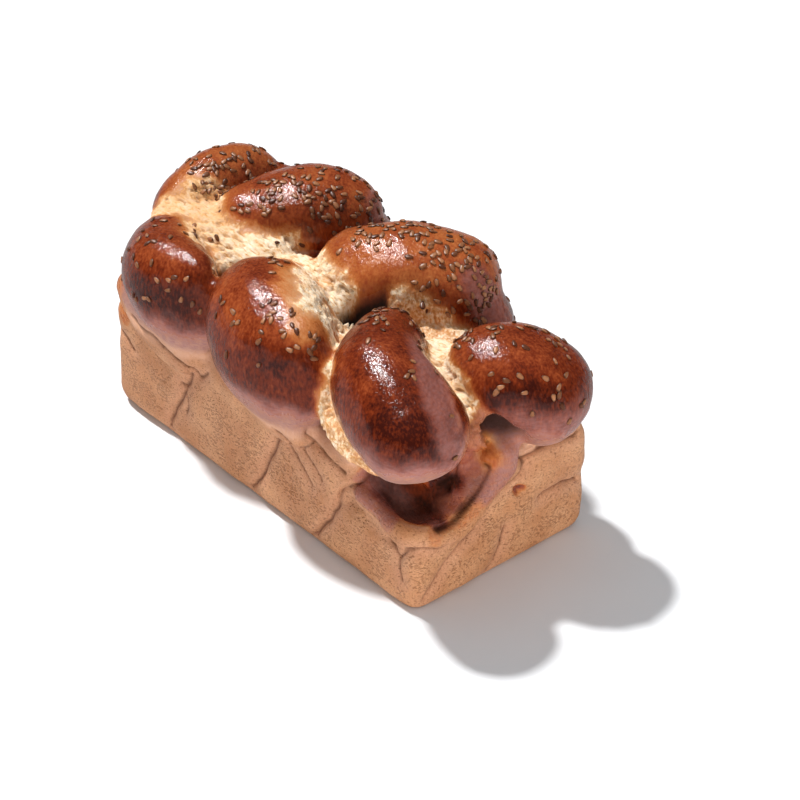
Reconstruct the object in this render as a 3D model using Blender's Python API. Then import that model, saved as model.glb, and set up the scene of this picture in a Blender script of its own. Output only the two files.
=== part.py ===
"""Braided loaf: a plaited milk bread baked in an open tin.

The loaf is one solid. Its lower half took the shape of the tin, so it has flat walls, rounded
edges and the slanting seams where the pieces of dough met. Above the rim the plait rose freely
into seven lobes, four towards +Y and three towards -Y, which hang a little over the walls. At the
front end (+X) the tail of the last strand is tucked under and leaves a folded pocket in the corner.

Units: the tables are in millimetres and the finished mesh is in metres, +Z up. The loaf stands on
z = 0, with the middle of its box on the Z axis and its length along X.
"""
import bmesh
import bpy
import numpy as np

MM = 0.001

# Tin-shaped lower half
TIN_LENGTH = 205.0
TIN_WIDTH = 99.0
WALL_TOP = 56.0
POCKET_FLOOR = 33.0
POCKET_START = 56.0       # the pocket lies beyond this X, on the -Y side of POCKET_WALL
POCKET_WALL = -2.0
EDGE_RADIUS = 8.0
BASE_SINK = 1.2           # the block starts this far below z = 0, and the base is cut flat there
HALF_LENGTH = TIN_LENGTH / 2
HALF_WIDTH = TIN_WIDTH / 2

# Lobes of the plait: stations of x, y, z, half width and half height along each lobe's middle,
# from its root in the middle of the loaf to its foot at the wall. Left is -Y, and 1 is in front.
LOBES = {
    "left_1": [(39, -5, 82, 15, 22), (64, -31, 90, 24, 25), (110, -40, 77, 25, 19)],
    "left_2": [(-24, -12, 88, 20, 17), (-8, -35, 85, 27, 29), (43, -49, 76, 14, 30)],
    "left_3": [(-92, -17, 75, 14, 17), (-70, -41, 79, 20, 24), (-30, -47, 75, 9, 29)],
    "right_1": [(74, -5, 80, 14, 22), (87, 8, 88, 22, 22), (103, 38, 64, 25, 24)],
    "right_2": [(-13, -8, 91, 18, 17), (15, 19, 93, 25, 26), (44, 47, 78, 26, 28)],
    "right_3": [(-73, -15, 86, 17, 16), (-46, 28, 92, 23, 23), (-36, 40, 77, 23, 30)],
    "right_4": [(-95, -25, 80, 16, 14), (-98, 15, 86, 18, 22), (-92, 32, 74, 21, 28)],
}

# Dough under and between the lobes, with the same kind of stations: the core of the plait, the
# flanks where the right lobes sag over the wall, and the webs stretched between two lobes
FILLING = {
    "core": [(-96, 0, 56, 32, 22), (-40, 0, 62, 36, 25), (40, 4, 62, 32, 25), (80, 16, 56, 24, 22)],
    "back_end": [(-90, -34, 58, 12, 18), (-94, 0, 62, 13, 22), (-90, 36, 58, 12, 18)],
    "flank_1": [(54, 34, 62, 18, 24), (98, 33, 60, 18, 24)],
    "flank_2": [(0, 34, 64, 20, 28), (32, 35, 67, 24, 33), (60, 36, 60, 17, 24)],
    "flank_3": [(-78, 35, 64, 18, 28), (-44, 34, 68, 23, 33), (-12, 34, 64, 20, 28)],
    "flank_4": [(-99, 14, 62, 16, 26), (-88, 30, 66, 21, 30), (-60, 36, 62, 16, 24)],
    "valleys": [(-80, 22, 62, 16, 20), (-12, 26, 66, 18, 18), (66, 26, 58, 18, 18)],
    "web_back": [(-104, -20, 84, 12, 10), (-80, -17, 85, 17, 13), (-57, -14, 85, 17, 13),
                 (-26, -9, 85, 14, 12)],
    "web_middle": [(-34, -12, 86, 13, 12), (-4, -13, 86, 16, 14), (26, -21, 82, 9, 11)],
    "web_right": [(28, 8, 80, 11, 8), (48, 12, 80, 13, 10), (68, 16, 76, 12, 9)],
    "web_front": [(50, 4, 82, 12, 11), (70, -4, 82, 14, 12), (88, -11, 77, 12, 11), (100, -16, 68, 8, 8)],
    "web_side": [(24, -18, 84, 11, 10), (39, -33, 79, 11, 12), (50, -43, 72, 10, 11), (66, -45, 65, 9, 9), (84, -42, 64, 7, 7)],
    "shoulder": [(36, -34, 48, 12, 10), (64, -37, 53, 11, 9), (88, -32, 60, 9, 8)],
    "panel_foot": [(56, 0, 36, 12, 12), (102, -3, 35, 12, 10)],
}

# Folded dough in the front corner: the lip of the pocket, which goes on as the tucked tail up to
# right_1, and the bulges inside the pocket
FOLDS = {
    "tail": [(46, -40, 44, 9, 8), (74, -42, 40, 8, 9), (95, -39, 36, 9, 10), (98, -24, 36, 7, 9),
             (98, -8, 46, 8, 9), (96, 2, 58, 9, 10), (91, 2, 74, 8, 8)],
    "inner_bulge": [(64, -28, 48, 7, 8), (82, -35, 40, 7, 8), (94, -34, 34, 6, 6)],
    "middle_bulge": [(74, -18, 52, 8, 9), (86, -27, 44, 7, 8), (94, -29, 36, 5, 6)],
    "outer_bulge": [(86, -6, 68, 7, 8), (90, -16, 54, 6, 7), (94, -24, 42, 5, 6)],
    "apron_3": [(-98, -46, 66, 5, 9), (-74, -50, 57, 6, 10), (-42, -50, 48, 5, 8)],
    "apron_2": [(-16, -48, 60, 5, 8), (10, -49, 55, 7, 10), (34, -49, 54, 7, 10)],
}

# Slanting seams in the long walls: foot of each seam along X, and how far it leans per millimetre
# of height. The end seam climbs across the front wall from the near corner.
NEAR_SEAM_FEET = (-66.0, -8.0, 33.0)
FAR_SEAM_FEET = (-78.0, -30.0, 26.0)
SEAM_LEAN = 0.5
SEAM_HEIGHT = 44.0
END_SEAM = [(-42, 0), (-41, 8), (-34, 16), (-25, 24), (-12, 34), (2, 42)]
SEAM_DEPTH = 1.6
SEAM_HALF_WIDTH = 2.2
PILLOW_DEPTH = 1.1        # the wall sinks this much towards a seam, so each piece of dough bulges
PILLOW_HALF_WIDTH = 9.0

# Mesh fineness
VOXEL = 1.7
RELAX_ROUNDS = 3
FACE_BUDGET = 9600        # triangles of the finished solid

CRUST_COLOUR = (0.42, 0.15, 0.045, 1.0)
CRUST_ROUGHNESS = 0.4


def clear_scene():
    for old in list(bpy.data.objects):
        bpy.data.objects.remove(old, do_unlink=True)


def spline(stations, count):
    """Points on a smooth curve through the stations, evenly spread along its parameter."""
    knots = np.asarray(stations, float)
    steps = np.linalg.norm(np.diff(knots[:, :3], axis=0), axis=1)
    at = np.concatenate([[0.0], np.cumsum(steps)]) / steps.sum()
    slopes = np.gradient(knots, at, axis=0)
    where = np.linspace(0.0, 1.0, count)
    left = np.clip(np.searchsorted(at, where, "right") - 1, 0, len(at) - 2)
    span = at[left + 1] - at[left]
    t = ((where - at[left]) / span)[:, None]
    span = span[:, None]
    return ((2 * t**3 - 3 * t**2 + 1) * knots[left] + (t**3 - 2 * t**2 + t) * span * slopes[left]
            + (3 * t**2 - 2 * t**3) * knots[left + 1] + (t**3 - t**2) * span * slopes[left + 1])


def add_lobe(bm, stations, rings=40, sides=28):
    """A sausage of dough: a sphere stretched along the spline, with an oval section."""
    line = spline(stations, 200)
    middle, half_width, half_height = line[:, :3], line[:, 3], line[:, 4]
    run = np.concatenate([[0.0], np.cumsum(np.linalg.norm(np.diff(middle, axis=0), axis=1))])
    ahead = np.gradient(middle, axis=0)
    ahead /= np.linalg.norm(ahead, axis=1, keepdims=True)
    side = np.cross((0.0, 0.0, 1.0), ahead)
    side /= np.linalg.norm(side, axis=1, keepdims=True)
    up = np.cross(ahead, side)
    root_cap, foot_cap = (half_width[0] + half_height[0]) / 2, (half_width[-1] + half_height[-1]) / 2
    ball = bmesh.ops.create_uvsphere(bm, u_segments=sides, v_segments=rings, radius=1.0)
    for vert in ball["verts"]:
        along = (1.0 - vert.co.z) / 2 * run[-1]
        from_root = min(along / root_cap, 1.0)
        from_foot = min((run[-1] - along) / foot_cap, 1.0)
        swell = np.sqrt(max(1 - (1 - from_root)**2, 0.0) * max(1 - (1 - from_foot)**2, 0.0))
        ring = np.hypot(vert.co.x, vert.co.y) or 1.0
        at = np.interp(along, run, np.arange(len(run)))
        low, part = int(at), at - int(at)
        high = min(low + 1, len(run) - 1)
        centre, across, rise, wide, tall = (
            values[low] * (1 - part) + values[high] * part
            for values in (middle, side, up, half_width, half_height))
        offset = across * (wide * swell * vert.co.x / ring) + rise * (tall * swell * vert.co.y / ring)
        vert.co = centre + offset


def add_block(bm, low, high, radius, cuts=24):
    """A box with rounded edges and corners: each point is pulled onto a smaller box's round skin."""
    low, high = np.array(low, float), np.array(high, float)
    centre, half = (low + high) / 2, (high - low) / 2
    block = bmesh.new()
    bmesh.ops.create_cube(block, size=2.0)
    bmesh.ops.subdivide_edges(block, edges=block.edges[:], cuts=cuts, use_grid_fill=True)
    for vert in block.verts:
        point = np.array(vert.co) * half
        inner = np.clip(point, radius - half, half - radius)
        out = point - inner
        vert.co = centre + inner + out / max(np.linalg.norm(out), 1e-9) * radius
    mesh = bpy.data.meshes.new("block")
    block.to_mesh(mesh)
    block.free()
    bm.from_mesh(mesh)
    bpy.data.meshes.remove(mesh)


def fuse(bm):
    """Melt the overlapping shapes into one skin and relax it."""
    mesh = bpy.data.meshes.new("dough")
    for face in bm.faces:
        face.smooth = True
    bmesh.ops.scale(bm, vec=(MM, MM, MM), verts=bm.verts)
    bmesh.ops.recalc_face_normals(bm, faces=bm.faces)
    bm.to_mesh(mesh)
    bm.free()
    dough = bpy.data.objects.new("dough", mesh)
    bpy.context.scene.collection.objects.link(dough)
    remesh = dough.modifiers.new("melt", "REMESH")
    remesh.mode = "VOXEL"
    remesh.voxel_size = VOXEL * MM
    fused = evaluated(dough)
    bpy.data.objects.remove(dough)
    return fused


def evaluated(part):
    """The mesh of an object with its modifiers worked out."""
    graph = bpy.context.evaluated_depsgraph_get()
    return bpy.data.meshes.new_from_object(part.evaluated_get(graph))


def read_points(mesh):
    points = np.empty(len(mesh.vertices) * 3)
    mesh.vertices.foreach_get("co", points)
    return points.reshape(-1, 3) / MM


def write_points(mesh, points):
    mesh.vertices.foreach_set("co", (points * MM).ravel())
    mesh.update()


def relax(mesh, rounds):
    """Move each point halfway to the mean of its neighbours."""
    ends = np.empty(len(mesh.edges) * 2, int)
    mesh.edges.foreach_get("vertices", ends)
    a, b = ends.reshape(-1, 2).T
    degree = np.bincount(ends, minlength=len(mesh.vertices))[:, None]
    points = read_points(mesh)
    for _ in range(rounds):
        total = np.zeros_like(points)
        np.add.at(total, a, points[b])
        np.add.at(total, b, points[a])
        points = (points + total / degree) / 2
    write_points(mesh, points)


def distance_to_path(points, path):
    """Shortest distance from each point to a line of straight pieces."""
    path = np.asarray(path, float)
    nearest = np.full(len(points), np.inf)
    for start, end in zip(path[:-1], path[1:]):
        step = end - start
        share = np.clip((points - start) @ step / (step @ step), 0.0, 1.0)
        nearest = np.minimum(nearest, np.linalg.norm(points - start - share[:, None] * step, axis=1))
    return nearest


def wall_seams():
    """Every seam as a path in space."""
    seams = []
    heights = np.linspace(-4.0, SEAM_HEIGHT, 7)
    for feet, y in ((NEAR_SEAM_FEET, -HALF_WIDTH), (FAR_SEAM_FEET, HALF_WIDTH)):
        for foot in feet:
            seams.append([(foot + SEAM_LEAN * z, y, z) for z in heights])
    seams.append([(HALF_LENGTH, y, z) for y, z in END_SEAM])
    return seams


def press_seams(mesh):
    """Sink a narrow groove and a wide, shallow hollow along each seam."""
    points = read_points(mesh)
    normals = np.empty(len(points) * 3)
    mesh.vertices.foreach_get("normal", normals)
    normals = normals.reshape(-1, 3)
    sink = np.zeros(len(points))
    for path in wall_seams():
        away = distance_to_path(points, path)
        groove = SEAM_DEPTH * np.exp(-(away / SEAM_HALF_WIDTH)**2)
        hollow = PILLOW_DEPTH * np.exp(-(away / PILLOW_HALF_WIDTH)**2)
        sink = np.maximum(sink, groove + hollow)
    write_points(mesh, points - normals * sink[:, None])


def base_cutter():
    """A wide slab with its top at z = 0."""
    bm = bmesh.new()
    bmesh.ops.create_cube(bm, size=1.0)
    size = np.array((TIN_LENGTH * 2, TIN_WIDTH * 2, 20.0)) * MM
    for vert in bm.verts:
        vert.co = np.array(vert.co) * size - (0.0, 0.0, size[2] / 2)
    mesh = bpy.data.meshes.new("base_cutter")
    bm.to_mesh(mesh)
    bm.free()
    cutter = bpy.data.objects.new("base_cutter", mesh)
    bpy.context.scene.collection.objects.link(cutter)
    cutter.hide_render = True
    cutter.display_type = "WIRE"
    return cutter


def thin_and_cut(mesh, cutter):
    """Thin the skin to the face budget and cut the base flat."""
    rough = bpy.data.objects.new("rough_loaf", mesh)
    bpy.context.scene.collection.objects.link(rough)
    thin = rough.modifiers.new("thin", "DECIMATE")
    thin.ratio = FACE_BUDGET / (2 * len(mesh.polygons))
    cut = rough.modifiers.new("flat_base", "BOOLEAN")
    cut.operation = "DIFFERENCE"
    cut.solver = "EXACT"
    cut.object = cutter
    solid = evaluated(rough)
    bpy.data.objects.remove(rough)
    return solid


def centre_on_base(mesh):
    points = read_points(mesh)
    middle = (points.min(axis=0) + points.max(axis=0)) / 2
    points[:, :2] -= middle[:2]
    write_points(mesh, points)


def crust_material():
    crust = bpy.data.materials.new("baked_crust")
    crust.use_nodes = True
    shader = crust.node_tree.nodes["Principled BSDF"]
    shader.inputs["Base Color"].default_value = CRUST_COLOUR
    shader.inputs["Roughness"].default_value = CRUST_ROUGHNESS
    shader.inputs["Metallic"].default_value = 0.0
    return crust


def build_loaf():
    bm = bmesh.new()
    low_corner = (-HALF_LENGTH, -HALF_WIDTH, -BASE_SINK)
    add_block(bm, low_corner, (HALF_LENGTH, HALF_WIDTH, POCKET_FLOOR), EDGE_RADIUS)
    add_block(bm, low_corner, (POCKET_START, HALF_WIDTH, WALL_TOP), EDGE_RADIUS)
    add_block(bm, (0.0, POCKET_WALL, 0.0), (HALF_LENGTH, HALF_WIDTH, WALL_TOP), EDGE_RADIUS)
    for stations in (*LOBES.values(), *FILLING.values(), *FOLDS.values()):
        add_lobe(bm, stations)
    mesh = fuse(bm)
    relax(mesh, RELAX_ROUNDS)
    press_seams(mesh)
    mesh = thin_and_cut(mesh, base_cutter())
    centre_on_base(mesh)
    mesh.name = "loaf"
    mesh.materials.clear()
    mesh.materials.append(crust_material())
    mesh.shade_smooth()
    loaf = bpy.data.objects.new("loaf", mesh)
    bpy.context.scene.collection.objects.link(loaf)
    return loaf


clear_scene()
build_loaf()
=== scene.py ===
"""Braided loaf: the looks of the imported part. A plaited, egg-washed and seeded milk bread from a tin."""
import math

import bpy
import numpy as np
from mathutils import Matrix, Vector, noise
from mathutils.bvhtree import BVHTree


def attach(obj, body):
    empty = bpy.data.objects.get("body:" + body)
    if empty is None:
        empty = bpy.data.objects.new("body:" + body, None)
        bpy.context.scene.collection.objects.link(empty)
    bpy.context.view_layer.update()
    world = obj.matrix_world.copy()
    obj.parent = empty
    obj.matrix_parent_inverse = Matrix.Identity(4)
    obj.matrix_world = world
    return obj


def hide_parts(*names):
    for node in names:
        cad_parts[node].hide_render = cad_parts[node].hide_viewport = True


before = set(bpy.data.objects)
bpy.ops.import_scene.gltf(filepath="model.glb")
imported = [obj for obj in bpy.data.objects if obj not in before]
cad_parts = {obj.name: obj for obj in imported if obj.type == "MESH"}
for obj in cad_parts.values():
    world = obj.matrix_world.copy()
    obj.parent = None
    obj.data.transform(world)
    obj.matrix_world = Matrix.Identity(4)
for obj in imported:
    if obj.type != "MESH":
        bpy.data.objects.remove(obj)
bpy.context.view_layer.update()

# --- Camera ---------------------------------------------------------------------------------------
# A long lens looks down on the loaf from its front left corner, a little over a metre away. The
# loaf sits left of the middle of the view, so the lens is shifted a little.
VIEW_AZIMUTH = math.radians(49.9)
VIEW_ELEVATION = math.radians(35.3)
VIEW_DISTANCE = 1.4
VIEW_TARGET = Vector((-0.0020, 0.0041, 0.055))
FOCAL_LENGTH = 146.6
LENS_SHIFT = (0.0685, -0.056)

back = Vector((math.sin(VIEW_AZIMUTH) * math.cos(VIEW_ELEVATION),
               -math.cos(VIEW_AZIMUTH) * math.cos(VIEW_ELEVATION), math.sin(VIEW_ELEVATION)))
right = Vector((math.cos(VIEW_AZIMUTH), math.sin(VIEW_AZIMUTH), 0.0))
bpy.ops.object.camera_add()
camera = bpy.context.object
camera.matrix_world = Matrix.Translation(VIEW_TARGET + back * VIEW_DISTANCE) @ Matrix(
    (right, back.cross(right), back)).transposed().to_4x4()
camera.data.lens = FOCAL_LENGTH
camera.data.sensor_width = 36.0
camera.data.shift_x, camera.data.shift_y = LENS_SHIFT
camera.data.clip_start = 0.05
bpy.context.scene.camera = camera
bpy.context.scene.view_settings.view_transform = "Standard"


# --- Floor and light ------------------------------------------------------------------------------
# A pale matt tabletop, one high lamp from behind the left that throws the shadow to the right, two
# low wide ones that light the walls, a small bright one overhead that puts the shine on the glaze,
# and a dim grey room.
def linear(hex_colour):
    """An sRGB hex colour as linear red, green, blue and alpha."""
    parts = [int(hex_colour[k:k + 2], 16) / 255 for k in (1, 3, 5)]
    return (*[p / 12.92 if p <= 0.04045 else ((p + 0.055) / 1.055) ** 2.4 for p in parts], 1.0)


def add_node(tree, kind, settings=None, links=None):
    """Adds a node. A setting is an attribute, a socket or a ramp's stops, and a link comes from a
    socket or from a node's first output."""
    node = tree.nodes.new(kind)
    for name, value in (settings or {}).items():
        if name == "stops":
            stops = node.color_ramp.elements
            stops[0].position, stops[-1].position = value[0][0], value[-1][0]
            for position, _ in value[1:-1]:
                stops.new(position)
            for stop, (_, colour) in zip(stops, value):
                stop.color = linear(colour)
        elif isinstance(name, str) and hasattr(node, name):
            setattr(node, name, value)
        else:
            node.inputs[name].default_value = linear(value) if isinstance(value, str) else value
    for name, source in (links or {}).items():
        if isinstance(source, bpy.types.Node):
            source = next(socket for socket in source.outputs if socket.enabled)
        tree.links.new(source, node.inputs[name])
    return node


FLOOR_SIZE = 6.0
FLOOR_DROP = 0.0002
bpy.ops.object.select_all(action="DESELECT")
bpy.ops.mesh.primitive_plane_add(size=FLOOR_SIZE, location=(0, 0, -FLOOR_DROP))
floor = bpy.context.object
floor.name = "tabletop"
bpy.ops.object.transform_apply(location=True, rotation=False, scale=False)

# Matt painted board: smooth, pale, with no grain and no shine. It is darker in what the glaze
# mirrors, so that the flanks of the lobes stay brown. A Mix node's two colours are sockets 6 and 7.
matt_paint = bpy.data.materials.new("matt_painted_board")
matt_paint.use_nodes = True
tree = matt_paint.node_tree
shader = tree.nodes["Principled BSDF"]
mirrored = add_node(tree, "ShaderNodeLightPath").outputs["Is Glossy Ray"]
board = add_node(tree, "ShaderNodeMix", {"data_type": "RGBA", 6: "#e8eaec", 7: "#9c9c9c"}, {0: mirrored})
tree.links.new(board.outputs[2], shader.inputs["Base Color"])
shader.inputs["Roughness"].default_value = 0.9
floor.data.materials.append(matt_paint)

LAMP_TILT = (math.radians(5.0), math.radians(-29.0), 0.0)
LAMP_STRENGTH = 3.7
LAMP_WIDTH = math.radians(4.0)
bpy.ops.object.light_add(type="SUN", rotation=LAMP_TILT)
lamp = bpy.context.object
lamp.data.energy = LAMP_STRENGTH
lamp.data.angle = LAMP_WIDTH

# The room is brighter towards its ceiling, and dark in reflections, so that the brown stays deep.
ROOM_COLOUR = "#f9fcff"
FLOOR_GLOW, CEILING_GLOW = 0.05, 0.6
ROOM_SHINE = 0.3
room = bpy.data.worlds.new("dim_room")
room.use_nodes = True
sky = room.node_tree
facing = add_node(sky, "ShaderNodeTexCoord").outputs["Generated"]
upward = add_node(sky, "ShaderNodeSeparateXYZ", None, {"Vector": facing}).outputs["Z"]
glow = add_node(sky, "ShaderNodeMapRange", {"To Min": FLOOR_GLOW, "To Max": CEILING_GLOW},
                {"Value": upward})
mirrored = add_node(sky, "ShaderNodeLightPath").outputs["Is Glossy Ray"]
kept = add_node(sky, "ShaderNodeMapRange", {"To Min": 1.0, "To Max": ROOM_SHINE}, {"Value": mirrored})
strength = add_node(sky, "ShaderNodeMath", {"operation": "MULTIPLY"}, {0: glow, 1: kept})
sky.links.new(strength.outputs["Value"], sky.nodes["Background"].inputs["Strength"])
sky.nodes["Background"].inputs["Color"].default_value = linear(ROOM_COLOUR)
bpy.context.scene.world = room

# Softboxes as (place, what it is aimed at, width, height, watts, shine): two low ones for the walls,
# which the glaze doesn't mirror, then the small overhead one, which is seen as the shine alone.
for place, aim, width, height, watts, shine in (
        ((1.0, -1.5, 0.15), (0, 0, 0.05), 0.6, 0.25, 17.0, False),
        ((1.9, 0.4, 0.2), (0, 0, 0.05), 0.6, 0.25, 16.0, False),
        ((-0.24, -0.36, 1.54), (0, 0, 0.09), 0.17, 0.17, 14.0, True)):
    bpy.ops.object.light_add(type="AREA", location=place)
    softbox = bpy.context.object
    softbox.rotation_euler = (Vector(aim) - softbox.location).to_track_quat("-Z", "Y").to_euler()
    softbox.data.shape = "RECTANGLE"
    softbox.data.size, softbox.data.size_y = width, height
    softbox.data.energy = watts
    softbox.visible_glossy = shine
    softbox.visible_diffuse = not shine

# --- Dough ----------------------------------------------------------------------------------------
# Milk-bread dough, plaited and proved in an open tin. The lower half filled the tin and took its
# flat walls; above the rim the plait rose into seven lobes with softer dough pressed between them.
MM = 0.001
TIN_LENGTH = 205.0
TIN_WIDTH = 99.0
WALL_TOP = 56.0
EDGE_RADIUS = 8.0
POCKET_FLOOR = 33.0
POCKET_START = 56.0
POCKET_WALL = -2.0
BASE_SINK = 1.2
TIN_MIDDLE = np.array((-2.0, 4.1, 0.0))
VOXEL = 1.3

HALF_LENGTH = TIN_LENGTH / 2
HALF_WIDTH = TIN_WIDTH / 2

# Strands by their stations (x, y, z, half width, half height), in mm from the middle of the tin's
# base. LOBES are the plait, FILLING the dough inside and between it, FOLDS the open corner's.
LOBES = {
    "left_1": [(39, -5, 82, 15, 22), (63, -34, 90, 21, 25), (110, -40, 77, 24, 19)],
    "left_2": [(-24, -12, 88, 20, 17), (-8, -35, 85, 27, 29), (43, -49, 76, 14, 30)],
    "left_3": [(-92, -17, 75, 14, 17), (-70, -41, 79, 20, 24), (-30, -47, 75, 9, 29)],
    "right_1": [(74, -5, 80, 14, 22), (87, 8, 88, 22, 22), (103, 38, 64, 25, 24)],
    "right_2": [(-13, -8, 91, 18, 17), (15, 19, 93, 25, 26), (44, 47, 78, 26, 28)],
    "right_3": [(-73, -15, 86, 17, 16), (-46, 28, 92, 23, 23), (-36, 40, 77, 23, 30)],
    "right_4": [(-95, -25, 80, 16, 14), (-98, 15, 86, 18, 22), (-92, 32, 74, 21, 28)],
}
FILLING = {
    "core": [(-96, 0, 56, 32, 22), (-40, 0, 62, 36, 25), (40, 4, 62, 32, 25), (80, 16, 56, 24, 22)],
    "back_end": [(-90, -34, 58, 12, 18), (-94, 0, 62, 13, 22), (-90, 36, 58, 12, 18)],
    "flank_1": [(54, 34, 62, 18, 24), (98, 33, 60, 18, 24)],
    "flank_2": [(0, 34, 64, 20, 28), (32, 35, 67, 24, 33), (60, 36, 60, 17, 24)],
    "flank_3": [(-78, 35, 64, 18, 28), (-44, 34, 68, 23, 33), (-12, 34, 64, 20, 28)],
    "flank_4": [(-99, 14, 62, 16, 26), (-88, 30, 66, 21, 30), (-60, 36, 62, 16, 24)],
    "valleys": [(-80, 22, 62, 16, 20), (-12, 26, 66, 18, 18), (66, 26, 58, 18, 18)],
    "web_back": [(-104, -20, 84, 12, 10), (-80, -17, 85, 17, 13), (-57, -14, 85, 17, 13),
                 (-26, -9, 85, 14, 12)],
    "web_middle": [(-34, -12, 86, 13, 12), (-4, -13, 86, 16, 14), (26, -21, 82, 9, 11)],
    "web_right": [(28, 8, 80, 11, 8), (48, 12, 80, 13, 10), (68, 16, 76, 12, 9)],
    "web_front": [(50, 4, 82, 12, 11), (70, -4, 82, 14, 12), (88, -11, 77, 12, 11),
                  (100, -16, 68, 8, 8)],
    "web_side": [(24, -18, 84, 11, 10), (39, -33, 79, 11, 12), (50, -43, 72, 10, 11),
                 (66, -45, 65, 9, 9), (84, -42, 64, 7, 7)],
    "shoulder": [(36, -34, 48, 12, 10), (64, -37, 53, 11, 9), (88, -32, 60, 9, 8)],
    "panel_foot": [(56, 0, 36, 12, 12), (102, -3, 35, 12, 10)],
}
FOLDS = {
    "tail": [(46, -40, 44, 9, 8), (74, -42, 40, 8, 9), (95, -39, 36, 9, 10), (98, -24, 36, 7, 9),
             (98, -8, 46, 8, 9), (96, 2, 58, 9, 10), (91, 2, 74, 8, 8)],
    "inner_bulge": [(64, -28, 48, 7, 8), (82, -35, 40, 7, 8), (94, -34, 34, 6, 6)],
    "middle_bulge": [(74, -18, 52, 8, 9), (86, -27, 44, 7, 8), (94, -29, 36, 5, 6)],
    "outer_bulge": [(86, -6, 68, 7, 8), (90, -16, 54, 6, 7), (94, -24, 42, 5, 6)],
    "apron_3": [(-98, -46, 66, 5, 9), (-74, -50, 57, 6, 10), (-42, -50, 48, 5, 8)],
    "apron_2": [(-16, -48, 60, 5, 8), (10, -49, 55, 7, 10), (34, -49, 54, 7, 10)],
}


def spline(stations, count):
    """Points on a smooth curve through the stations, evenly spread along its parameter."""
    knots = np.asarray(stations, float)
    steps = np.linalg.norm(np.diff(knots[:, :3], axis=0), axis=1)
    at = np.concatenate([[0.0], np.cumsum(steps)]) / steps.sum()
    slopes = np.gradient(knots, at, axis=0)
    where = np.linspace(0.0, 1.0, count)
    left = np.clip(np.searchsorted(at, where, "right") - 1, 0, len(at) - 2)
    span = at[left + 1] - at[left]
    t = ((where - at[left]) / span)[:, None]
    span = span[:, None]
    return ((2 * t**3 - 3 * t**2 + 1) * knots[left] + (t**3 - 2 * t**2 + t) * span * slopes[left]
            + (3 * t**2 - 2 * t**3) * knots[left + 1] + (t**3 - t**2) * span * slopes[left + 1])


class Strand:
    """The middle line of a piece of dough, with its oval section at each step."""

    def __init__(self, stations, count=200):
        line = spline(stations, count)
        self.middle, self.wide, self.tall = line[:, :3], line[:, 3], line[:, 4]
        steps = np.linalg.norm(np.diff(self.middle, axis=0), axis=1)
        self.run = np.concatenate([[0.0], np.cumsum(steps)])
        ahead = np.gradient(self.middle, axis=0)
        self.ahead = ahead / np.linalg.norm(ahead, axis=1, keepdims=True)
        across = np.cross((0.0, 0.0, 1.0), self.ahead)
        self.across = across / np.linalg.norm(across, axis=1, keepdims=True)
        self.rise = np.cross(self.ahead, self.across)
        caps = (self.wide + self.tall) / 2
        root = 1 - np.clip(self.run / caps[0], 0, 1)
        foot = 1 - np.clip((self.run[-1] - self.run) / caps[-1], 0, 1)
        self.swell = np.sqrt((1 - root**2) * (1 - foot**2))


def points_of(piece):
    """A mesh's points, in mm."""
    points = np.empty(len(piece.data.vertices) * 3)
    piece.data.vertices.foreach_get("co", points)
    return points.reshape(-1, 3) / MM


def move_points(piece, points):
    """Puts a mesh's points, in mm, where they are given."""
    piece.data.vertices.foreach_set("co", (points * MM).ravel())
    piece.data.update()


def roll_strand(name, stations):
    """A ball of dough, rolled out and laid along its strand."""
    bpy.ops.object.select_all(action="DESELECT")
    bpy.ops.mesh.primitive_uv_sphere_add(segments=48, ring_count=64, radius=1.0)
    piece = bpy.context.object
    piece.name = name
    strand = Strand(stations)
    ball = points_of(piece) * MM
    along = (1 - ball[:, 2]) / 2 * strand.run[-1]
    ring = np.maximum(np.hypot(ball[:, 0], ball[:, 1]), 1e-9)

    def at(values):
        return np.stack([np.interp(along, strand.run, column) for column in values.T], axis=1)

    wide = np.interp(along, strand.run, strand.wide * strand.swell) * ball[:, 0] / ring
    tall = np.interp(along, strand.run, strand.tall * strand.swell) * ball[:, 1] / ring
    sideways, upward = wide[:, None] * at(strand.across), tall[:, None] * at(strand.rise)
    move_points(piece, at(strand.middle) + sideways + upward)
    return piece


def pack_block(name, low, high):
    """Dough pressed into the tin: a box with rounded edges."""
    bpy.ops.object.select_all(action="DESELECT")
    low, high = np.array(low), np.array(high)
    bpy.ops.mesh.primitive_cube_add(size=1.0, location=(low + high) / 2 * MM, scale=(high - low) * MM)
    piece = bpy.context.object
    piece.name = name
    bpy.ops.object.transform_apply(location=True, rotation=True, scale=True)
    bpy.ops.object.mode_set(mode="EDIT")
    bpy.ops.mesh.select_all(action="SELECT")
    bpy.ops.mesh.bevel(offset=EDGE_RADIUS * MM, segments=8, affect="EDGES")
    bpy.ops.object.mode_set(mode="OBJECT")
    return piece


low_corner = (-HALF_LENGTH, -HALF_WIDTH, -BASE_SINK)
dough = [pack_block("tin_base", low_corner, (HALF_LENGTH, HALF_WIDTH, POCKET_FLOOR)),
         pack_block("tin_back", low_corner, (POCKET_START, HALF_WIDTH, WALL_TOP)),
         pack_block("tin_far", (0.0, POCKET_WALL, 0.0), (HALF_LENGTH, HALF_WIDTH, WALL_TOP))]
for group in (LOBES, FILLING, FOLDS):
    dough += [roll_strand(name, stations) for name, stations in group.items()]

# The pieces grew together in the oven: one skin goes over all of them, relaxed once it is made.
bpy.ops.object.select_all(action="DESELECT")
for piece in dough:
    piece.select_set(True)
bpy.context.view_layer.objects.active = dough[0]
bpy.ops.object.join()
loaf = bpy.context.object
loaf.name = "loaf_crust"
loaf.data.name = "loaf_crust"
melt = loaf.modifiers.new("melt", "REMESH")
melt.mode = "VOXEL"
melt.voxel_size = VOXEL * MM
bpy.ops.object.modifier_apply(modifier="melt")

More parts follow.
